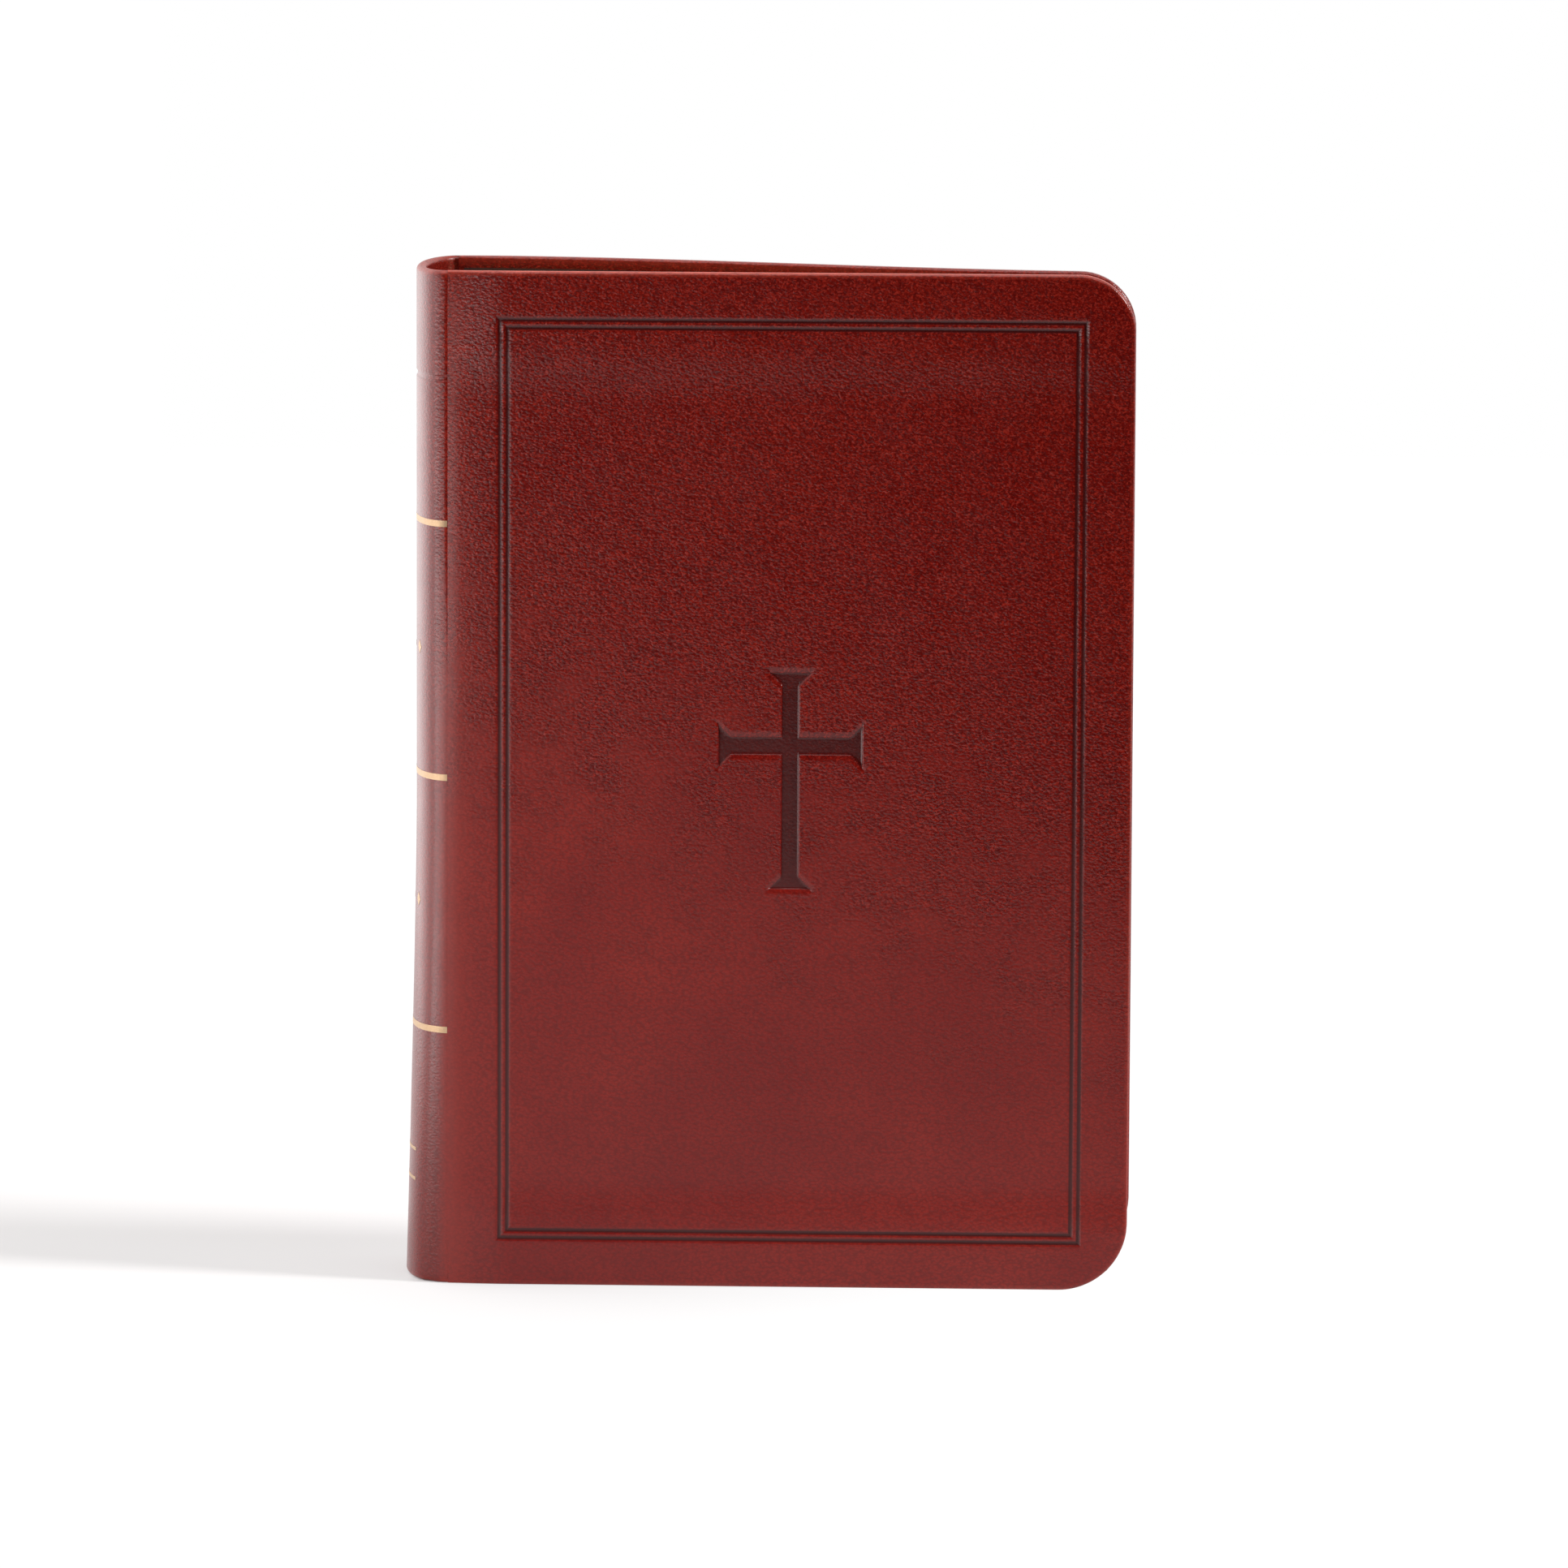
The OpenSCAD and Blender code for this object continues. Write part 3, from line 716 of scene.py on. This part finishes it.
def leather_material():
    """Pebbled red-brown leather: unrubbed and grainy towards the head and fore-edge, where it is also
    painted darker as shade, rubbed smooth below.

    The tool mask darkens pressed leather; edge lightens the rims, partly as rubbed wear and partly as a
    painted highlight;
    the spine mask marks the stretched leather of the spine, also painted darker there as shade; and joint
    marks the leather beside the hinge, flatter in grain and painted lighter there as a highlight.
    """
    m = Nodes("red_brown_leather")
    place = m.place()
    warp = m.add("ShaderNodeTexNoise", {"Vector": place, "Scale": 0.9, "Detail": 1.0}).outputs["Color"]
    bent = m.vector("ADD", place, m.vector("MULTIPLY", warp, (0.7,) * 3))
    bent = m.vector("MULTIPLY", bent, (1.0, 1.0, 1.5))
    pebble = m.add("ShaderNodeTexVoronoi", {"Vector": bent, "Scale": 1.6, "Smoothness": 0.35},
                   feature="SMOOTH_F1").outputs["Distance"]
    specks = m.noise(place, 2.1, 3.0, 0.65)
    patches = m.noise(place, 0.035, 3.0, 0.55)
    cloud = m.noise(place, 0.13, 3.0, 0.55)
    tool, edge, taut_and_shaded, joint = m.mask("tool"), m.mask("edge"), m.mask("taut_and_shaded"), m.mask("joint")
    split = m.add("ShaderNodeSeparateXYZ", {0: place})
    up = m.math("ADD", split.outputs[2], m.math("MULTIPLY", split.outputs[0], 0.35))
    up = m.math("ADD", up, m.remap(cloud, 0.3, 0.7, -22.0, 22.0))
    fresh_and_shaded = m.remap(up, 45.0, 110.0, kind="SMOOTHSTEP")
    fresh_and_shaded = m.math("MULTIPLY", fresh_and_shaded, m.remap(taut_and_shaded, 0.0, 1.0, 1.0, 0.55))

    # colour: two reds in slow patches, darker pores and flecks, brighter grains partly painted as glints,
    # painted shade towards the head and fore-edge and on the spine, a painted highlight beside the hinge,
    # darker pressed leather, and rims lighter partly from wear and partly as a painted highlight
    base = m.mix(m.remap(patches, 0.35, 0.65), colour(0.178, 0.0032, 0.0014), colour(0.232, 0.0094, 0.0040))
    base = m.mix(m.remap(cloud, 0.4, 0.62, 0.0, 0.35), base, colour(0.200, 0.0046, 0.0020))
    # painted shade: the unrubbed leather towards the head and fore-edge is painted darker, standing in for
    # the weaker light there
    base = m.mix(m.math("MULTIPLY", fresh_and_shaded, 0.42), base, colour(0.070, 0.0006, 0.0003))
    base = m.mix(m.remap(pebble, 0.3, 0.7, 0.0, 0.5), base, colour(0.088, 0.0016, 0.0009))
    # painted shade: the spine is painted darker, standing in for the weaker light on the side turned from
    # the key light
    base = m.mix(m.math("MULTIPLY", taut_and_shaded, 0.32), base, colour(0.02, 0.001, 0.0008))
    # painted highlight: the leather beside the hinge is painted lighter, standing in for the sheen that
    # rolls over the joint
    base = m.mix(m.math("MULTIPLY", joint, 0.4), base, colour(0.27, 0.017, 0.008))
    flecks = m.math("MULTIPLY", m.remap(specks, 0.44, 0.57), m.remap(fresh_and_shaded, 0.0, 1.0, 0.12, 0.74))
    base = m.mix(flecks, base, colour(0.066, 0.0014, 0.0009))
    # brighter grain tops: partly the grain's own tone, partly painted glints standing in for the sparkle of
    # light on the grain
    grains = m.remap(m.noise(bent, 2.3, 2.0, 0.6), 0.5, 0.66)
    bright = m.math("MULTIPLY", grains, m.remap(fresh_and_shaded, 0.0, 1.0, 0.05, 0.47))
    base = m.mix(bright, base, colour(0.40, 0.030, 0.017))
    base = m.mix(m.math("MULTIPLY", tool, 0.94), base, colour(0.040, 0.0024, 0.0022))
    # rims painted lighter and orange: partly rubbed wear, partly a painted highlight where the rims catch
    # the light
    frayed_and_highlit = m.math("MULTIPLY", edge, m.remap(m.noise(place, 0.8, 3.0, 0.7), 0.3, 0.6, 0.3, 0.95))
    base = m.mix(frayed_and_highlit, base, colour(0.46, 0.058, 0.030))
    m.link(base, "Base Color")

    # gloss: polished where unrubbed or stretched, duller where rubbed, pressed or fraying at the rims
    dull = m.math("MULTIPLY", m.remap(fresh_and_shaded, 0.0, 1.0, 0.14, 0.0), m.remap(taut_and_shaded, 0.0, 1.0, 1.0, 0.35))
    rough = m.math("ADD", m.math("ADD", dull, 0.18), m.remap(cloud, 0.3, 0.7, -0.03, 0.03))
    for share, amount in ((specks, 0.08), (edge, 0.35), (tool, 0.04)):
        rough = m.math("ADD", rough, m.math("MULTIPLY", share, amount))
    m.link(rough, "Roughness")

    # grain: pebbles and specks, flatter in pressed or rubbed leather and at the joint
    grain = m.math("SUBTRACT", m.math("MULTIPLY", specks, 0.5), pebble)
    strength = m.math("MULTIPLY", m.remap(tool, 0.0, 1.0, 1.0, 0.3), m.remap(fresh_and_shaded, 0.0, 1.0, 0.4, 1.0))
    strength = m.math("MULTIPLY", strength, m.remap(joint, 0.0, 1.0, 1.0, 0.3))
    m.link(m.bump(m.math("MULTIPLY", grain, strength), 0.45, 0.11 * MM), "Normal")
    m.set(Specular_IOR_Level=0.38)
    return m.material


def foil_material():
    """Gold foil, rubbed a little unevenly."""
    m = Nodes("gold_foil")
    place = m.place()
    fine = m.noise(place, 7.0, 3.0, 0.6)
    wear = m.noise(place, 2.2, 4.0, 0.65)
    dark, light = colour(0.40, 0.25, 0.14), colour(0.48, 0.32, 0.19)
    m.link(m.mix(m.remap(fine, 0.3, 0.7), dark, light), "Base Color")
    m.link(m.remap(wear, 0.3, 0.7, 0.4, 0.55), "Roughness")
    m.link(m.bump(fine, 0.25, 0.05 * MM), "Normal")
    m.set(Metallic=0.6)
    return m.material


def paper_material(name, tint, shade, fibre=0.3):
    """Paper with fine fibres over slow clouds; fibre is how much the fibres show."""
    m = Nodes(name)
    place = m.place()
    fibres = m.noise(place, 3.0, 4.0, 0.65)
    cloud = m.noise(place, 0.05, 3.0, 0.5)
    base = m.mix(m.remap(cloud, 0.35, 0.65), tint, shade)
    base = m.mix(m.remap(fibres, 0.3, 0.7, 0.0, fibre), base, shade)
    m.link(base, "Base Color")
    m.link(m.remap(fibres, 0.3, 0.7, 0.6, 0.75), "Roughness")
    m.link(m.bump(fibres, 0.2, 0.08 * MM), "Normal")
    return m.material


def gilt_edge_material():
    """Gilded leaf edges: fine lines of single leaves across the thickness of the block."""
    m = Nodes("gilt_leaf_edges")
    place = m.place()
    split = m.add("ShaderNodeSeparateXYZ", {0: place})
    lines = m.add("ShaderNodeTexNoise", {"W": split.outputs[1], "Scale": 26.0, "Detail": 2.0},
                  noise_dimensions="1D").outputs["Fac"]
    cloud = m.noise(place, 0.25, 3.0, 0.6)
    dark, light = colour(0.42, 0.24, 0.07), colour(0.86, 0.60, 0.26)
    m.link(m.mix(m.remap(lines, 0.35, 0.65), dark, light), "Base Color")
    m.link(m.remap(cloud, 0.3, 0.7, 0.3, 0.45), "Roughness")
    m.link(m.bump(lines, 0.5, 0.12 * MM), "Normal")
    m.set(Metallic=0.7)
    return m.material


def cloth_material(name, tint, shade, pitch):
    """Plain weave of a pitch in millimetres."""
    m = Nodes(name)
    place = m.object_place()
    split = m.add("ShaderNodeSeparateXYZ", {0: place})
    warp = m.math("SINE", m.math("MULTIPLY", split.outputs[2], 2 * math.pi / pitch), 0.0)
    weft = m.math("SINE", m.math("MULTIPLY", split.outputs[0], 2 * math.pi / pitch), 0.0)
    weave = m.math("MAXIMUM", warp, weft)
    m.link(m.mix(m.remap(weave, -1, 1), shade, tint), "Base Color")
    m.link(m.bump(weave, 0.5, 0.1 * MM), "Normal")
    m.set(Roughness=0.85)
    return m.material


def band_material():
    """Silk in red and cream stripes along the bead, a pitch in millimetres wide."""
    pitch = 1.6
    m = Nodes("headband_silk")
    place = m.place()
    split = m.add("ShaderNodeSeparateXYZ", {0: place})
    stripes = m.math("SINE", m.math("MULTIPLY", split.outputs[1], 2 * math.pi / pitch), 0.0)
    red, cream = colour(0.28, 0.02, 0.02), colour(0.62, 0.52, 0.36)
    m.link(m.mix(m.remap(stripes, -0.25, 0.25), red, cream), "Base Color")
    m.link(m.bump(m.noise(place, 6.0, 3.0), 0.3, 0.1 * MM), "Normal")
    m.set(Roughness=0.5)
    return m.material


def refinish(node, material):
    """Gives a CAD node another material."""
    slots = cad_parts[node].data.materials
    slots.clear()
    slots.append(material)


leather = leather_material()
foil = foil_material()
page = paper_material("page_paper", colour(0.80, 0.74, 0.62), colour(0.72, 0.65, 0.52), 0.2)
endpaper = paper_material("dark_endpaper", colour(0.062, 0.016, 0.012), colour(0.034, 0.009, 0.007))
card = paper_material("spine_card", colour(0.34, 0.24, 0.14), colour(0.25, 0.17, 0.09))
gilt_edge = gilt_edge_material()
band_silk = band_material()
board_paper = cloth_material("grey_board", colour(0.42, 0.36, 0.27), colour(0.32, 0.26, 0.19), 0.9)
mull_cloth = cloth_material("open_mull", colour(0.75, 0.72, 0.62), colour(0.42, 0.39, 0.32), 0.7)
thread_wax = cloth_material("waxed_thread", colour(0.85, 0.80, 0.68), colour(0.55, 0.5, 0.4), 0.25)


# ---------- the book ----------

for label, side in SIDES.items():
    skin = cover_plate(f"{label}_skin", side, side == FRONT, leather)
    lining = pastedown(label, side)
    core = board_core(label, side)
    hinge_line = row_point(BEND_START, HEIGHT / 2, FACE_N, side)
    board_line = row_point(BEND_END, HEIGHT / 2, FACE_N, side)
    for piece in (skin, lining):
        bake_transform(piece)
    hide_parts(f"{label}_cover_leather", f"{label}_joint_leather")
    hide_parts(f"{label}_pastedown")
    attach(core, f"{label}_cover")
    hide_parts(f"{label}_board")

    loose = flyleaf(label, side)
    leaf_start = row_point(FOLDS[-1], HEIGHT / 2, BLOCK_N, side)
    leaf_end = row_point(FOLDS[-1] + LEAF_BEND, HEIGHT / 2, BLOCK_N, side)
    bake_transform(loose)
    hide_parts(f"{label}_flyleaf")
    for number in range(1, SECTIONS + 1):
        pages = leaf_section(label, side, number)
        if number < SECTIONS:
            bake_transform(pages)
        else:
            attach(pages, "root")
        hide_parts(f"{label}_leaves_{number}")
    refinish(f"{label}_hinge_cloth", mull_cloth)

BAND_CELLS = [strip(z, BAND_W, BAND_HALF_ANGLE) for z in BAND_ZS]
MARK_CELLS = [strip(z, RULE_W, RULE_HALF_ANGLE) for z in RULE_ZS]
MARK_CELLS += [cell for z in ORNAMENT_ZS for cell in ornament_cells(z)]
SPINE_PIECES = [
    (spine_leather(), ["spine_leather"], "cover_leather"),
    (spine_card(), ["spine_stiffener"], "spine_paper"),
    (foil_piece("gilt_lines", BAND_CELLS), ["gilt_bands"], "gold_foil"),
    (foil_piece("gilt_marks", MARK_CELLS), ["gilt_ornaments"], "gold_foil"),
    (woven_bead("head_bead", BLOCK_TOP, 1), ["headband"], "headband"),
    (woven_bead("tail_bead", BLOCK_LOW, -1), ["tailband"], "headband"),
]
for piece, nodes, slot in SPINE_PIECES:
    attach(piece, "root")
    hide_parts(*nodes)

refinish("spine_mull", mull_cloth)
refinish("spine_liner", mull_cloth)
refinish("sewing_thread", thread_wax)


# ---------- floor, light and camera ----------


# The floor's outline: it ends in front of the book, nearer on the right, where the leather mirrors the dark.
FLOOR_OUTLINE = [(-0.25, -0.83, 0), (0.18, -0.18, 0), (1.5, -0.18, 0), (1.5, 1.5, 0), (-0.25, 1.5, 0)]
SHADOW_CENTRE = (-0.2, 0.08, 0.0)


def floor():
    """Pale floor that turns into plain white light away from the book, like a sweep of lit paper."""
    m = Nodes("white_floor")
    # the floor's diffuse colour is faintly pink, a painted stand-in for red light bounced from the leather
    # into its shadow
    m.set(Base_Color=colour(0.64, 0.622, 0.618), Roughness=0.9, Specular_IOR_Level=0.2)
    source = m.add("ShaderNodeTexCoord").outputs["Object"]
    away = m.add("ShaderNodeVectorMath", {0: source, 1: SHADOW_CENTRE}, operation="DISTANCE")
    share = m.remap(away.outputs["Value"], 0.1, 0.3, 0.2, 1.0, "SMOOTHSTEP")
    glow = m.add("ShaderNodeEmission", {"Strength": 1.06})

    # the contact shadow: the book's footprint, from the spine to where the tail corner lifts off
    split = m.add("ShaderNodeSeparateXYZ", {0: source})
    fade = 2.5 * MM
    lifted = TAIL_CORNER_R / 2
    along = m.math("ABSOLUTE", m.math("ADD", split.outputs[0], lifted), 0.0)
    across = m.math("ABSOLUTE", split.outputs[1], 0.0)
    beside = m.math("SUBTRACT", along, cad_high[0] - lifted - fade)
    before = m.math("SUBTRACT", across, cad_high[1] - fade)
    contact = m.remap(m.math("MAXIMUM", beside, before), -0.2 * fade, fade, 0.1, 1.0)
    blend = m.add("ShaderNodeMixShader", {0: m.math("MULTIPLY", share, contact)})
    m.tree.links.new(m.shader.outputs[0], blend.inputs[1])
    m.tree.links.new(glow.outputs[0], blend.inputs[2])
    m.tree.links.new(blend.outputs[0], m.tree.nodes["Material Output"].inputs["Surface"])
    mesh = bpy.data.meshes.new("floor")
    mesh.from_pydata(FLOOR_OUTLINE, [], [tuple(range(len(FLOOR_OUTLINE)))])
    mesh.materials.append(m.material)
    piece = bpy.data.objects.new("floor", mesh)
    bpy.context.scene.collection.objects.link(piece)


def lamp_at(name, data, place, target):
    lamp = bpy.data.objects.new(name, data)
    lamp.location = place
    lamp.rotation_euler = (Vector(target) - Vector(place)).to_track_quat("-Z", "Y").to_euler()
    bpy.context.scene.collection.objects.link(lamp)


def panel(name, place, target, size, power):
    data = bpy.data.lights.new(name, "AREA")
    data.shape = "RECTANGLE"
    data.size, data.size_y = size
    data.energy = power
    lamp_at(name, data, place, target)


def sun(name, azimuth, elevation, softness, strength):
    """Even light from the right; azimuth is measured towards the camera."""
    data = bpy.data.lights.new(name, "SUN")
    data.angle, data.energy = math.radians(softness), strength
    a, e = math.radians(azimuth), math.radians(elevation)
    lamp_at(name, data, (math.cos(a) * math.cos(e), -math.sin(a) * math.cos(e), math.sin(e)), (0, 0, 0))


def studio_world():
    """White to the camera; for the book, dark in front and bright behind and to the left."""
    world = bpy.data.worlds.new("studio")
    world.use_nodes = True
    tree = world.node_tree
    background = tree.nodes["Background"]
    background.inputs["Color"].default_value = (1, 1, 1, 1)
    coords = tree.nodes.new("ShaderNodeTexCoord")
    split = tree.nodes.new("ShaderNodeSeparateXYZ")
    tree.links.new(coords.outputs["Generated"], split.inputs[0])

    def ramp(axis, *limits):
        node = tree.nodes.new("ShaderNodeMapRange")
        for key, value in zip(("From Min", "From Max", "To Min", "To Max"), limits):
            node.inputs[key].default_value = value
        tree.links.new(split.outputs[axis], node.inputs["Value"])
        return node.outputs[0]

    def combine(operation, a, b):
        node = tree.nodes.new("ShaderNodeMath")
        node.operation = operation
        tree.links.new(a, node.inputs[0])
        tree.links.new(b, node.inputs[1])
        return node.outputs[0]

    behind = ramp(1, -0.2, 0.7, 0.005, 1.0)
    left = combine("MULTIPLY", ramp(0, -0.1, -0.85, 0.0, 2.15), ramp(1, -0.9, -0.1, 0.2, 1.0))
    seen = tree.nodes.new("ShaderNodeLightPath").outputs["Is Camera Ray"]
    tree.links.new(combine("MAXIMUM", seen, combine("ADD", behind, left)), background.inputs["Strength"])
    bpy.context.scene.world = world


# Where the camera stands, from the front hinge line at the tail, and how it is turned, in degrees.
EYE_RIGHT, EYE_BACK, EYE_UP = 115.2 * MM, 1606.2 * MM, 288.9 * MM
EYE_YAW, EYE_PITCH, EYE_ROLL = -2.107, -7.233, 0.248
SENSOR_W, LENS = 36.0, 223.6


def camera():
    """The photograph's view: a long lens from a little right of the middle and above the book."""
    data = bpy.data.cameras.new("camera")
    data.sensor_width, data.lens = SENSOR_W, LENS
    eye = bpy.data.objects.new("camera", data)
    eye.location = (HINGE_X + EYE_RIGHT, -FACE_N - EYE_BACK, EYE_UP)
    yaw, pitch, roll = (math.radians(a) for a in (EYE_YAW, EYE_PITCH, EYE_ROLL))
    ahead = Vector((math.sin(yaw) * math.cos(pitch), math.cos(yaw) * math.cos(pitch), math.sin(pitch)))
    eye.rotation_mode = "QUATERNION"
    eye.rotation_quaternion = ahead.to_track_quat("-Z", "Y") @ Quaternion((0, 0, 1), roll)
    data.clip_end = 20
    bpy.context.scene.collection.objects.link(eye)
    bpy.context.scene.camera = eye


floor()
sun("key", azimuth=12, elevation=34, softness=11, strength=2.8)
panel("top", place=(0.0, -0.15, 1.0), target=(0, -0.15, 0), size=(1.0, 0.7), power=5.0)
panel("left", place=(-0.50, -0.40, -0.02), target=(-0.06, 0.0, 0.03), size=(0.9, 0.2), power=2.4)
studio_world()
camera()
bpy.context.scene.view_settings.view_transform = "Standard"
